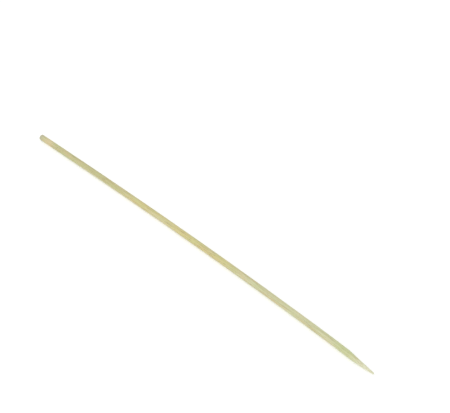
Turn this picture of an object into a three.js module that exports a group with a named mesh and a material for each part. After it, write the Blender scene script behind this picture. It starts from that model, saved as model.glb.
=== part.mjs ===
// Bamboo skewer: one round stick of split bamboo, cut square at the butt and ground to a point.
// Millimetres. The origin is the middle of the butt face, +X runs to the point and +Z is up.
// It lies on its side as it comes to rest, with its natural bow flat, towards +Y.
import * as THREE from "three";

const length = 300; // butt face to the end of the point
const diameter = 4; // round shaft
const buttRound = 0.35; // edge of the butt, worn round by tumbling
const pointLength = 21; // ground point, from its shoulder to its end
const pointBelly = 0.5; // control point of the ogive, outside the straight cone
const pointRound = 0.55; // radius left at the very end
const pointOffset = 0.45; // the point is ground more from one side, which puts its end off the axis
const bowNearButt = 2.9; // the bow's control point at a third of the length
const bowNearPoint = 4.6; // the bow's control point at two thirds of the length

const sides = 24; // flats around the stick
const shaftSteps = 44; // rings along the shaft, which follow the bow
const curveSteps = 6; // steps along each rounded stretch

const radius = diameter / 2;
const shoulder = length - pointLength;

// Half of the lengthwise section, with x as the radius and y along the stick.
function section() {
  const controlRadius = radius / 2 + pointBelly;
  const control = new THREE.Vector2(controlRadius, shoulder + pointLength / 2);
  const reach = length - pointRound - control.y;
  const slope = Math.atan2(control.x, reach) - Math.asin(pointRound / Math.hypot(control.x, reach));
  const endX = pointRound * Math.cos(slope);
  const endY = length - pointRound + pointRound * Math.sin(slope);

  const path = new THREE.Path();
  path.moveTo(0, 0);
  path.lineTo(radius - buttRound, 0);
  path.absarc(radius - buttRound, buttRound, buttRound, -Math.PI / 2, 0, false);
  for (let step = 1; step <= shaftSteps; step++) {
    path.lineTo(radius, THREE.MathUtils.lerp(buttRound, shoulder, step / shaftSteps));
  }
  path.quadraticCurveTo(control.x, control.y, endX, endY);
  path.absarc(0, length - pointRound, pointRound, slope, Math.PI / 2, false);
  return path.getPoints(curveSteps);
}

// The bow is a cubic curve with its control points at thirds, so t is the share of the length.
function bowLine() {
  return new THREE.CubicBezierCurve(
    new THREE.Vector2(0, 0),
    new THREE.Vector2(length / 3, bowNearButt),
    new THREE.Vector2((length * 2) / 3, bowNearPoint),
    new THREE.Vector2(length, pointOffset),
  );
}

// Each ring slides sideways to the bow. Past the shoulder it also slides off the shaft's axis, mostly
// at first, and the end of the point comes back to the X axis.
function bend(geometry) {
  const bow = bowLine();
  const position = geometry.attributes.position;
  for (let i = 0; i < position.count; i++) {
    const along = THREE.MathUtils.clamp(position.getX(i) / length, 0, 1);
    const ahead = THREE.MathUtils.clamp((length - position.getX(i)) / pointLength, 0, 1);
    const aside = pointOffset * (1 - ahead ** 3);
    position.setY(i, position.getY(i) + bow.getPoint(along).y - aside);
  }
}

// The flats touch the true circle, with one of them facing down.
function stick() {
  const flatStep = Math.PI / sides;
  const geometry = new THREE.LatheGeometry(section(), sides, flatStep);
  const spread = 1 / Math.cos(flatStep);
  geometry.scale(spread, 1, spread);
  geometry.rotateZ(-Math.PI / 2);
  bend(geometry);
  geometry.computeVertexNormals();
  return geometry;
}

const bamboo = new THREE.MeshStandardMaterial({ color: 0xd3cc9a, roughness: 0.6, metalness: 0 });

const skewer = new THREE.Mesh(stick(), bamboo);
skewer.name = "skewer";

const part = new THREE.Group();
part.name = "bamboo_skewer";
part.add(skewer);

export default part;
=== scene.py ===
import bmesh
import bpy
import math
import numpy as np
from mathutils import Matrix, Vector


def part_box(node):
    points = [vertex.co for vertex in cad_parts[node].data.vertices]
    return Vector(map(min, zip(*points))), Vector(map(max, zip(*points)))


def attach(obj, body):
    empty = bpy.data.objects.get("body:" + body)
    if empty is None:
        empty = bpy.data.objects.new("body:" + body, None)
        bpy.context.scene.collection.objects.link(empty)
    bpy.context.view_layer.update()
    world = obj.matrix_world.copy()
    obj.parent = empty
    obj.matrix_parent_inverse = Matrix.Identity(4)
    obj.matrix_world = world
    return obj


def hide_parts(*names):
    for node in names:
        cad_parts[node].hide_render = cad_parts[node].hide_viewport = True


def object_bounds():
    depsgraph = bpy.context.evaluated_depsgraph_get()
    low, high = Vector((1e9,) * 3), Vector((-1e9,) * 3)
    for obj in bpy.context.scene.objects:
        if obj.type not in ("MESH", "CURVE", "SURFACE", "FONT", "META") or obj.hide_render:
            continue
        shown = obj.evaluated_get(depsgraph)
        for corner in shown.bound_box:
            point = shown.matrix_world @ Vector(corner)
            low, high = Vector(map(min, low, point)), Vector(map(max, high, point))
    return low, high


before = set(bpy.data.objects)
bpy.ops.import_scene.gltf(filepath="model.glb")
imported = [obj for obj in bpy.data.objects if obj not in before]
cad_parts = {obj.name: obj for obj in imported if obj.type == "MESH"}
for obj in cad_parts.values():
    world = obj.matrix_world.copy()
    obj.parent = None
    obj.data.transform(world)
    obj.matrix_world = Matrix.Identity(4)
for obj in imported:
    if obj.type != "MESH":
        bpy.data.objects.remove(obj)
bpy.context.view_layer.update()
mm = 0.001

# The CAD stick gives the length, the thickness and where its middle runs.
stickLow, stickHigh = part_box("skewer")
stickLength = stickHigh.x - stickLow.x
stickRadius = (stickHigh.z - stickLow.z) / 2
print("frame: stick", round(stickLength / mm, 2), "mm long,", round(2 * stickRadius / mm, 2), "mm thick")


# Camera, at the photograph's angle: 45 degrees down, with the butt far left and the point near right
camera = {
    "imageWidth": 450,
    "focalPixels": 1180,
    "place": Vector((526.0, -361.3, 555.3)) * mm,  # from the middle of the butt
    "down": math.radians(45),
    "turn": math.radians(43.78),
    "sensor": 36.0,
    "clip": (0.01, 50),
}


def makeCamera():
    turned = (math.pi / 2 - camera["down"], 0, camera["turn"])
    bpy.ops.object.camera_add(location=camera["place"], rotation=turned)
    made = bpy.context.object
    made.name = "photoCamera"
    made.data.sensor_width = camera["sensor"]
    made.data.lens = camera["focalPixels"] * camera["sensor"] / camera["imageWidth"]
    made.data.clip_start, made.data.clip_end = camera["clip"]
    bpy.context.scene.camera = made
    print("camera: lens", round(made.data.lens, 1), "mm")


# Shader maths: a socket that Python's operators work on
class Wire:
    def __init__(self, nodes, socket=None):
        self.nodes, self.socket = nodes, socket

    def add(self, kind, settings=None, sockets=None, output=0):
        node = self.nodes.new(kind)
        for name, value in (settings or {}).items():
            setattr(node, name, value)
        for name, value in (sockets or {}).items():
            if isinstance(value, Wire):
                self.nodes.id_data.links.new(value.socket, node.inputs[name])
            else:
                node.inputs[name].default_value = value
        return Wire(self.nodes, node.outputs[output])

    def out(self, name):  # another output of the same node
        return Wire(self.nodes, self.socket.node.outputs[name])

    def maths(self, operation, *values):
        return self.add("ShaderNodeMath", {"operation": operation}, dict(enumerate(values)))

    def unsigned(self):
        return self.maths("ABSOLUTE", self)

    def root(self):
        return self.maths("SQRT", self)

    def atLeast(self, other):
        return self.maths("MAXIMUM", self, other)

    def __add__(self, other):
        return self.maths("ADD", self, other)

    def __radd__(self, other):
        return self.maths("ADD", other, self)

    def __sub__(self, other):
        return self.maths("SUBTRACT", self, other)

    def __rsub__(self, other):
        return self.maths("SUBTRACT", other, self)

    def __mul__(self, other):
        return self.maths("MULTIPLY", self, other)

    def __rmul__(self, other):
        return self.maths("MULTIPLY", other, self)

    def between(self, low, high):  # 0 below low and 1 above high, with a soft step
        settings = {"interpolation_type": "SMOOTHSTEP"}
        sockets = {"Value": self, "From Min": low, "From Max": high, "To Min": 0.0, "To Max": 1.0}
        return self.add("ShaderNodeMapRange", settings, sockets)

    def blend(self, first, second):  # the first colour at 0 and the second at 1
        sockets = {"Factor": self, "A": first, "B": second}
        return self.add("ShaderNodeMix", {"data_type": "RGBA"}, sockets, output="Result")


def rgb(red, green, blue):  # a colour picked on screen, as linear light
    screen = (red / 255, green / 255, blue / 255)
    light = [c / 12.92 if c <= 0.04045 else ((c + 0.055) / 1.055) ** 2.4 for c in screen]
    return (*light, 1)


# Stick: a lengthwise half section is drawn, spun round and roughened, and then takes the bow
stick = {
    "sides": 96,
    "buttRound": 0.35 * mm,
    "buttRings": 24,
    "rimSteps": 8,
    "shaftParts": 8,
    "shaftCuts": 99,  # in each part of the shaft
    "pointLength": 21 * mm,
    "pointBelly": 0.5 * mm,  # how far the ogive's control point lies outside the straight cone
    "pointRound": 0.55 * mm,
    "pointSteps": 84,
    "endSteps": 8,
    "findWithin": 1 * mm,  # of the shaft's middle, to find its one long edge
    "weld": 0.001 * mm,
}
shoulder = stickLength - stick["pointLength"]  # where the point begins


def extrudeTo(place):  # draws on from the selected vertex
    mesh = bmesh.from_edit_mesh(bpy.context.object.data)
    here = next(vertex.co for vertex in mesh.verts if vertex.select)
    step = place - here
    bpy.ops.mesh.extrude_region_move(TRANSFORM_OT_translate={"value": step})


def selectEdges(wanted):
    bpy.ops.mesh.select_all(action="DESELECT")
    mesh = bmesh.from_edit_mesh(bpy.context.object.data)
    for edge in mesh.edges:
        edge.select_set(wanted((edge.verts[0].co + edge.verts[1].co) / 2))
    bmesh.update_edit_mesh(bpy.context.object.data)


def drawButt():  # from the middle of the butt face out over its rounded rim
    rimRadius = stickRadius - stick["buttRound"]
    bpy.ops.mesh.primitive_plane_add(size=stickRadius, location=(0, 0, 0))
    bpy.ops.object.mode_set(mode="EDIT")
    bpy.ops.mesh.merge(type="CENTER")
    extrudeTo(Vector((0, 0, rimRadius)))
    for step in range(1, stick["rimSteps"] + 1):
        angle = math.pi / 2 * step / stick["rimSteps"]
        along = stick["buttRound"] * (1 - math.cos(angle))
        extrudeTo(Vector((along, 0, rimRadius + stick["buttRound"] * math.sin(angle))))


def drawPoint():  # an ogive that runs into a small round end
    control = Vector((shoulder + stick["pointLength"] / 2, stickRadius / 2 + stick["pointBelly"]))
    reach = stickLength - stick["pointRound"] - control.x
    slope = math.atan2(control.y, reach) - math.asin(stick["pointRound"] / math.hypot(control.y, reach))
    endCentre = stickLength - stick["pointRound"]
    endAlong = endCentre + stick["pointRound"] * math.sin(slope)
    end = Vector((endAlong, stick["pointRound"] * math.cos(slope)))
    start = Vector((shoulder, stickRadius))
    for step in range(1, stick["pointSteps"] + 1):
        t = step / stick["pointSteps"]
        place = start * (1 - t) ** 2 + control * (2 * t * (1 - t)) + end * t**2
        extrudeTo(Vector((place.x, 0, place.y)))
    for step in range(1, stick["endSteps"] + 1):
        angle = slope + (math.pi / 2 - slope) * step / stick["endSteps"]
        across = stick["pointRound"] * math.cos(angle) if step < stick["endSteps"] else 0
        extrudeTo(Vector((endCentre + stick["pointRound"] * math.sin(angle), 0, across)))


def drawSection():
    shaftMiddle = (stick["buttRound"] + shoulder) / 2
    drawButt()
    extrudeTo(Vector((shoulder, 0, stickRadius)))
    drawPoint()
    selectEdges(lambda middle: middle.x < stick["weld"])
    bpy.ops.mesh.subdivide(number_cuts=stick["buttRings"] - 1)
    selectEdges(lambda middle: abs(middle.x - shaftMiddle) < stick["findWithin"])
    bpy.ops.mesh.subdivide(number_cuts=stick["shaftParts"] - 1)
    selectEdges(lambda middle: stick["buttRound"] < middle.x < shoulder)
    bpy.ops.mesh.subdivide(number_cuts=stick["shaftCuts"])


def spinStick():
    bpy.ops.object.select_all(action="DESELECT")
    drawSection()
    bpy.ops.mesh.select_all(action="SELECT")
    bpy.ops.mesh.spin(steps=stick["sides"], angle=math.tau, center=(0, 0, 0), axis=(1, 0, 0))
    bpy.ops.mesh.select_all(action="SELECT")
    bpy.ops.mesh.remove_doubles(threshold=stick["weld"])
    bpy.ops.mesh.normals_make_consistent(inside=False)
    bpy.ops.object.mode_set(mode="OBJECT")
    bpy.ops.object.shade_smooth()
    made = bpy.context.object
    made.name = "bambooStick"
    print("stick:", len(made.data.vertices), "vertices spun")
    return made


# Fibres run a little across the stick, so a bundle comes to the surface and leaves it again.
grain = {
    "slantY": 0.011,
    "slantZ": -0.008,
    "sway": 1.6,  # millimetres, from one side to the other
    "swayPerMm": 0.012,
}


def places(made):
    found = np.empty(3 * len(made.data.vertices), np.float32)
    made.data.vertices.foreach_get("co", found)
    return found.reshape(-1, 3)


def keepStraightPlaces(made):  # the material's coordinates, in millimetres, from before the bow
    kept = made.data.attributes.new("straight", "FLOAT_VECTOR", "POINT")
    kept.data.foreach_set("vector", (places(made) / mm).ravel())


# Bake map: the stick's skin in lengthwise strips one above the other, with the butt face in a corner
bakeMap = {
    "strips": 5,
    "stripHeight": 0.176,
    "gap": 0.005,
}


def layStrips(made):
    mesh = made.data
    stripLength = stickLength / bakeMap["strips"]
    pitch = bakeMap["stripHeight"] + bakeMap["gap"]
    faceWidth = shoulder / (stick["shaftParts"] * (stick["shaftCuts"] + 1))
    scale = (1 - 2 * bakeMap["gap"]) / (stripLength + 2 * faceWidth)
    buttTop = bakeMap["strips"] * pitch + bakeMap["gap"]
    buttScale = (1 - bakeMap["gap"] - buttTop) / (2 * stickRadius)
    layer = mesh.uv_layers.new(name="OFBake").data
    for face in mesh.polygons:
        if face.center.x < stick["weld"]:
            for loop in face.loop_indices:
                place = mesh.vertices[mesh.loops[loop].vertex_index].co
                layer[loop].uv = (
                    bakeMap["gap"] + (place.y + stickRadius) * buttScale,
                    buttTop + (place.z + stickRadius) * buttScale,
                )
            continue
        strip = min(int(face.center.x / stripLength), bakeMap["strips"] - 1)
        middle = math.atan2(face.center.y, face.center.z) % math.tau
        for loop in face.loop_indices:
            place = mesh.vertices[mesh.loops[loop].vertex_index].co
            angle = middle
            if math.hypot(place.y, place.z) > stick["weld"]:
                turned = math.atan2(place.y, place.z) - middle
                angle = middle + (turned + math.pi) % math.tau - math.pi
            along = bakeMap["gap"] + (place.x - strip * stripLength + faceWidth) * scale
            up = bakeMap["gap"] + strip * pitch + bakeMap["stripHeight"] * angle / math.tau
            layer[loop].uv = (along, up)


# Relief, each from a noise that is stretched along the fibres
relief = {
    "section": {"along": 90 * mm, "across": 3.2 * mm, "height": 0.09 * mm},
    "bundles": {"along": 26 * mm, "across": 0.42 * mm, "height": 0.045 * mm},
    "ground": {"along": 12 * mm, "across": 1.1 * mm, "height": 0.09 * mm},
}
pointFade = {
    "before": 1 * mm,  # how far before the shoulder the ground relief begins
    "fadeIn": 3 * mm,
    "fadeOut": 9 * mm,
}


def roughen(made, name, group=""):
    shape = relief[name]
    texture = bpy.data.textures.new(name, "CLOUDS")
    texture.noise_scale = 1.0
    texture.noise_depth = 2
    turned = (0, math.atan(-grain["slantZ"]), math.atan(grain["slantY"]))
    bpy.ops.object.empty_add(type="PLAIN_AXES", location=(0, 0, 0), rotation=turned)
    guide = bpy.context.object
    guide.scale = (shape["along"], shape["across"], shape["across"])
    bpy.context.view_layer.update()
    bpy.context.view_layer.objects.active = made
    push = made.modifiers.new(name, "DISPLACE")
    push.texture, push.texture_coords, push.texture_coords_object = texture, "OBJECT", guide
    push.strength, push.mid_level, push.vertex_group = shape["height"], 0.5, group
    bpy.ops.object.modifier_apply(modifier=name)
    bpy.data.objects.remove(guide)
    bpy.data.textures.remove(texture)


def markPoint(made):  # the ground point, fading in over its shoulder and out at its end
    group = made.vertex_groups.new(name="groundPoint")
    along = places(made)[:, 0]
    fadeIn = np.clip((along - shoulder + pointFade["before"]) / pointFade["fadeIn"], 0, 1)
    fadeOut = np.clip((stickLength - along) / pointFade["fadeOut"], 0, 1)
    for index in np.flatnonzero(fadeIn * fadeOut):
        group.add([int(index)], float(fadeIn[index] * fadeOut[index]), "REPLACE")
    return group.name


def keepRelief(made, before):  # how far each point was pushed out, in hundredths of a millimetre
    across = before * (0, 1, 1)
    outward = across / np.maximum(np.linalg.norm(across, axis=1, keepdims=True), stick["weld"])
    pushed = ((places(made) - before) * outward).sum(1) / (0.01 * mm)
    kept = made.data.attributes.new("pushed", "FLOAT", "POINT")
    kept.data.foreach_set("value", pushed.astype(np.float32))


# Bow: the middle of the CAD stick, taken at a few rings
bowRings = {
    "alongShaft": 4,
    "alongPoint": 3,
    "smoothness": 64,  # steps of the curve between two rings
}


def cadMiddle():
    rings = {}
    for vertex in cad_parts["skewer"].data.vertices:
        rings.setdefault(round(vertex.co.x, 5), []).append(vertex.co.y)
    middles = sorted((x, (min(ys) + max(ys)) / 2) for x, ys in rings.items())
    wanted = [shoulder * ring / bowRings["alongShaft"] for ring in range(bowRings["alongShaft"] + 1)]
    for ring in range(1, bowRings["alongPoint"] + 1):
        wanted.append(shoulder + stick["pointLength"] * ring / bowRings["alongPoint"])
    return [min(middles, key=lambda middle: abs(middle[0] - x)) for x in wanted]


def bowStick(made):
    bpy.ops.curve.primitive_bezier_curve_add(location=(0, 0, 0))
    bow = bpy.context.object
    bow.data.twist_mode = "Z_UP"
    bow.data.resolution_u = bowRings["smoothness"]
    line = bow.data.splines[0]
    middle = cadMiddle()
    line.bezier_points.add(len(middle) - len(line.bezier_points))
    for point, (x, y) in zip(line.bezier_points, middle):
        point.handle_left_type = point.handle_right_type = "AUTO"
        point.co = (x, y, 0)
    bpy.context.view_layer.objects.active = made
    follow = made.modifiers.new("bow", "CURVE")
    follow.object = bow
    bpy.ops.object.modifier_apply(modifier="bow")
    bpy.data.objects.remove(bow)


# Bamboo: pale ground tissue with tan fibre bundles in it, all along the grain. A cut across shows the
# bundles as dots and a cut along shows them as streaks, because the pattern is a solid one.
bamboo = {
    "olive": rgb(195, 194, 143),
    # straw: the middle's own tone, partly painted yellow bounce light and shade
    "strawBounceAndShade": rgb(212, 202, 138),
    "green": rgb(208, 212, 170),
    "pale": rgb(222, 216, 180),
    "tan": rgb(200, 180, 126),
    "leaf": rgb(190, 202, 140),
    "peach": rgb(220, 194, 150),
    "bundle": rgb(178, 162, 108),
    "vessel": rgb(112, 86, 50),
    "ground": rgb(230, 232, 204),
    "butt": rgb(146, 124, 82),
    "greyedEnd": rgb(174, 172, 156),  # the last millimetres at the butt, greyed
    "strawBounceAndShadeFrom": (66.0, 98.0),  # millimetres from the butt, where the tone turns to straw, which is partly painted yellow bounce light and shade
    "greenFrom": (172.0, 200.0),
    "streaky": 60.0,  # how far the turn runs on along some fibres
    "cutDepth": (0.04, 0.20),  # millimetres from the butt, where the cut face turns into skin
    "greyedEndTo": (2.0, 6.0),
    "stainFrom": (5.0, 9.0),
    "stainTo": (11.0, 17.0),
    "freshFrom": (-12.0, -2.0),  # millimetres from the shoulder, as the next one is
    "groundFrom": (6.0, 16.0),
    "outerY": -0.45,  # which way the culm's hard outer side lies, across the stick
    "outerZ": 0.89,
    "perMm": 1.7,  # bundles in a millimetre, in the middle of the stick
    "crowding": 0.16,  # how much closer they stand towards the outer side
    "scatter": 0.85,  # how far they stray from an even grid
    "bundleSize": (0.15, 0.24),
    "bundleSpread": 0.16,  # how much bigger the biggest bundle is
    "vesselApart": 0.14,
    "vesselSize": (0.055, 0.105),
    "roughness": 0.54,
    "bumpStrength": 0.9,
    "bumpDepth": 0.035 * mm,
}

# How much of each tint shows, where it shows most
tintStrength = {
    "pale": 0.55,
    "tan": 0.50,
    "leaf": 0.35,
    "peach": 0.35,
    "ground": 0.7,
    "lightLines": 0.45,
    "vessel": 0.70,
    "stain": 0.45,
    "fresh": 0.35,
    "greyedEnd": 0.5,
    "cleanCut": 0.3,  # how much less the cut face is greyed
}


class Grain:  # the stick's own coordinates in millimetres, along the fibres and across them
    def __init__(self, start):
        self.start = start
        place = start.add("ShaderNodeAttribute", {"attribute_name": "straight"}, output="Vector")
        split = start.add("ShaderNodeSeparateXYZ", sockets={"Vector": place})
        self.x, self.y, self.z = split, split.out("Y"), split.out("Z")
        sway = self.noise(self.x * grain["swayPerMm"], 0.0, 0.0, 1.0) - 0.5
        sag = self.noise(self.x * grain["swayPerMm"], 7.0, 0.0, 1.0) - 0.5
        acrossY = self.y - self.x * grain["slantY"] + sway * grain["sway"]
        acrossZ = self.z - self.x * grain["slantZ"] + sag * grain["sway"]
        self.u = acrossY * bamboo["outerY"] + acrossZ * bamboo["outerZ"]
        self.v = acrossY * bamboo["outerZ"] - acrossZ * bamboo["outerY"]

    def noise(self, x, y, z, detail=2.0):
        spot = self.start.add("ShaderNodeCombineXYZ", sockets={"X": x, "Y": y, "Z": z})
        sockets = {"Vector": spot, "Scale": 1.0, "Detail": detail, "Roughness": 0.6}
        return self.start.add("ShaderNodeTexNoise", sockets=sockets)

    def fibres(self, along, across, detail=2.0, offset=0.0):  # a noise that is drawn out along the fibres
        return self.noise(self.x * along + offset, self.u * across, self.v * across, detail)


def bundlePattern(start, here, onButt):  # the bundles, and the two open vessels in each
    u = here.u * bamboo["perMm"] + here.u * here.u * bamboo["crowding"]
    v = here.v * (here.u * bamboo["crowding"] + bamboo["perMm"])
    ragged = here.fibres(0.05, 6.0, 3.0) - 0.5
    spot = start.add("ShaderNodeCombineXYZ", sockets={"X": u, "Y": v})
    sockets = {"Vector": spot, "Scale": 1.0, "Randomness": bamboo["scatter"]}
    away = start.add("ShaderNodeTexVoronoi", {"voronoi_dimensions": "2D"}, sockets, output="Distance")
    centre = start.add("ShaderNodeSeparateXYZ", sockets={"Vector": away.out("Position")})
    chance = start.add("ShaderNodeSeparateColor", sockets={"Color": away.out("Color")})
    spread = ragged * 0.26 - chance * bamboo["bundleSpread"]
    bundle = 1.0 - (away + spread).between(*bamboo["bundleSize"])
    sideways = (v - centre.out("Y")).unsigned() - bamboo["vesselApart"]
    upright = (u - centre) * 1.1
    toVessel = (sideways * sideways + upright * upright).root()
    opened = here.fibres(0.07, 0.8, offset=31.0).between(0.44, 0.60).atLeast(onButt)
    vessel = (1.0 - (toVessel + ragged * 0.06).between(*bamboo["vesselSize"])) * opened
    return bundle * (chance.out("Green") * 0.6 + 0.55), vessel


def hairlines(here, along, across, offset, width):  # thin lines along the fibres
    level = here.fibres(along, across, 1.0, offset) - 0.5
    return 1.0 - level.unsigned().between(width * 0.3, width)


def tissueColour(here):  # olive near the butt, straw in the middle, partly painted yellow bounce light and shade, and pale green towards the point
    turn = here.x + (here.fibres(0.008, 0.6, offset=21.0) - 0.5) * bamboo["streaky"]
    colour = turn.between(*bamboo["strawBounceAndShadeFrom"]).blend(bamboo["olive"], bamboo["strawBounceAndShade"])
    colour = turn.between(*bamboo["greenFrom"]).blend(colour, bamboo["green"])
    light = here.fibres(0.035, 0.25, offset=12.0).between(0.46, 0.66)
    dark = here.fibres(0.05, 0.40, 3.0, offset=44.0).between(0.48, 0.68)
    tint = here.fibres(0.09, 0.45, offset=61.0)
    colour = (light * tintStrength["pale"]).blend(colour, bamboo["pale"])
    colour = (dark * tintStrength["tan"]).blend(colour, bamboo["tan"])
    colour = ((1.0 - tint.between(0.34, 0.50)) * tintStrength["leaf"]).blend(colour, bamboo["leaf"])
    return (tint.between(0.50, 0.66) * tintStrength["peach"]).blend(colour, bamboo["peach"])


def bambooColour(here, bundle, vessel, low, onPoint, onButt):
    fine = here.fibres(0.05, 10.0, 4.0).between(0.42, 0.62)
    streak = here.fibres(0.012, 2.2, 3.0, offset=5.0).between(0.48, 0.66)
    flecks = here.fibres(0.6, 9.0, 2.0, offset=91.0).between(0.66, 0.74)
    alongSkin = 1.0 - onButt
    darkLines = hairlines(here, 0.015, 2.6, 71.0, 0.016) * alongSkin
    lightLines = hairlines(here, 0.012, 2.2, 83.0, 0.020) * alongSkin
    colour = tissueColour(here)
    colour = (onPoint * tintStrength["ground"]).blend(colour, bamboo["ground"])
    colour = (lightLines * tintStrength["lightLines"]).blend(colour, bamboo["pale"])
    sheath = bundle * (fine * 0.30 + 0.24)
    # the low spots and grooves get painted shade here, in the bundle colour
    colour = (sheath + streak * 0.10 + fine * 0.16 + low * 0.30).blend(colour, bamboo["bundle"])
    colour = (onButt * (bundle * 0.65 + 0.15)).blend(colour, bamboo["butt"])
    dark = vessel * tintStrength["vessel"] + darkLines * (fine * 0.45 + 0.10) + flecks * 0.30
    return dark.blend(colour, bamboo["vessel"])


def fromShoulder(stretch):  # the same stretch in millimetres from the butt
    return [shoulder / mm + place for place in stretch]


def tonedStretches(here, onPoint):  # greyed at the butt, stained past it and fresher before the point
    fromButt = here.x + here.fibres(0.1, 2.0) * 3.0
    # greyer over the last millimetres at the butt
    greyedEnd = 1.0 - fromButt.between(*bamboo["greyedEndTo"])
    stained = fromButt.between(*bamboo["stainFrom"]) * (1.0 - fromButt.between(*bamboo["stainTo"]))
    fresh = fromButt.between(*fromShoulder(bamboo["freshFrom"])) * (1.0 - onPoint)
    return greyedEnd, stained, fresh


def skinHeight(here, onPoint, onButt):  # strands, long scores, grinding marks and the sawn face
    strand = here.fibres(0.05, 12.0, 3.0, offset=3.0)
    score = here.noise(here.x * 0.02, here.y * 7.0, here.z * 7.0, 3.0)
    ground = here.noise(here.x * 7.0, here.y * 0.5, here.z * 0.5, 3.0) * onPoint
    sawn = here.noise(0.0, here.u * 1.2, here.v * 11.0, 3.0) * onButt
    return strand * 0.6 + score * 0.45 + ground * 0.5 + sawn * 0.9


def makeBamboo():
    material = bpy.data.materials.new("bamboo")
    material.use_nodes = True
    start = Wire(material.node_tree.nodes)
    here = Grain(start)
    pushed = start.add("ShaderNodeAttribute", {"attribute_name": "pushed"}, output="Fac")
    groove = 1.0 - pushed.between(-1.6, 0.4)
    raggedPlace = here.x + here.fibres(0.05, 2.2, 3.0) * 9.0
    onPoint = raggedPlace.between(*fromShoulder(bamboo["groundFrom"]))
    onButt = 1.0 - here.x.between(*bamboo["cutDepth"])
    greyedEnd, stained, fresh = tonedStretches(here, onPoint)
    bundle, vessel = bundlePattern(start, here, onButt)
    height = skinHeight(here, onPoint, onButt)
    # low spots of the relief and the grooves: painted shade in the colour, and rougher
    low = (1.0 - height.between(0.36, 0.62)) * 0.7 + groove * 0.3
    colour = bambooColour(here, bundle, vessel, low, onPoint, onButt)
    colour = (stained * tintStrength["stain"]).blend(colour, bamboo["peach"])
    colour = (fresh * tintStrength["fresh"]).blend(colour, bamboo["leaf"])
    greyed = greyedEnd * (tintStrength["greyedEnd"] - onButt * tintStrength["cleanCut"])
    colour = greyed.blend(colour, bamboo["greyedEnd"])
    rough = bamboo["roughness"] - bundle * 0.10 + low * 0.16 + onPoint * 0.08 + onButt * 0.2
    height = height + bundle * 0.3 - vessel * 1.2
    sockets = {"Height": height, "Strength": bamboo["bumpStrength"], "Distance": bamboo["bumpDepth"]}
    bump = start.add("ShaderNodeBump", sockets=sockets)
    shader = start.nodes["Principled BSDF"]
    for name, wire in (("Base Color", colour), ("Roughness", rough), ("Normal", bump)):
        material.node_tree.links.new(wire.socket, shader.inputs[name])
    print("bamboo:", len(start.nodes), "nodes")
    return material


def makeStick():
    made = spinStick()
    keepStraightPlaces(made)
    layStrips(made)
    roughen(made, "section")
    before = places(made)
    roughen(made, "bundles")
    roughen(made, "ground", group=markPoint(made))
    keepRelief(made, before)
    bowStick(made)
    made.vertex_groups.clear()
    made.data.materials.append(makeBamboo())
    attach(made, "root")
    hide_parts("skewer")
    print("stick:", len(made.data.polygons), "faces")


# Studio: a plain white light table and soft light from above
studio = {
    "floorSize": 8.0,
    "floor": (0.85, 0.85, 0.85, 1),
    "floorRoughness": 0.9,
    "floorShine": 0.1,
    "floorGlow": 0.22,
    "sky": (0.99, 1.0, 1.0, 1),
    "skyStrength": 0.82,
    "keyPower": 4.6,
    "keySize": 1.0,
    "keyPlace": Vector((0.05, -0.60, 1.1)),
}


def makeStudio():
    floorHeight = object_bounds()[0][2]
    bpy.ops.mesh.primitive_plane_add(size=studio["floorSize"], location=(0, 0, floorHeight))
    floor = bpy.context.object
    floor.name = "floor"
    paper = bpy.data.materials.new("paper")
    paper.use_nodes = True
    shader = paper.node_tree.nodes["Principled BSDF"]
    shader.inputs["Base Color"].default_value = studio["floor"]
    shader.inputs["Roughness"].default_value = studio["floorRoughness"]
    shader.inputs["Specular IOR Level"].default_value = studio["floorShine"]
    shader.inputs["Emission Color"].default_value = studio["sky"]
    shader.inputs["Emission Strength"].default_value = studio["floorGlow"]
    floor.data.materials.append(paper)
    sky = bpy.data.worlds.new("sky")
    sky.use_nodes = True
    sky.node_tree.nodes["Background"].inputs["Color"].default_value = studio["sky"]
    sky.node_tree.nodes["Background"].inputs["Strength"].default_value = studio["skyStrength"]
    bpy.context.scene.world = sky
    bpy.ops.object.light_add(type="AREA", location=studio["keyPlace"])
    key = bpy.context.object
    key.name = "keyLight"
    key.data.size = studio["keySize"]
    key.data.energy = studio["keyPower"]
    aim = Vector((stickLength / 2, 0, 0)) - studio["keyPlace"]
    key.rotation_euler = aim.to_track_quat("-Z", "Y").to_euler()
    bpy.context.scene.view_settings.view_transform = "Standard"
    print("studio: floor at", round(floorHeight / mm, 2), "mm")


makeCamera()
makeStick()
makeStudio()
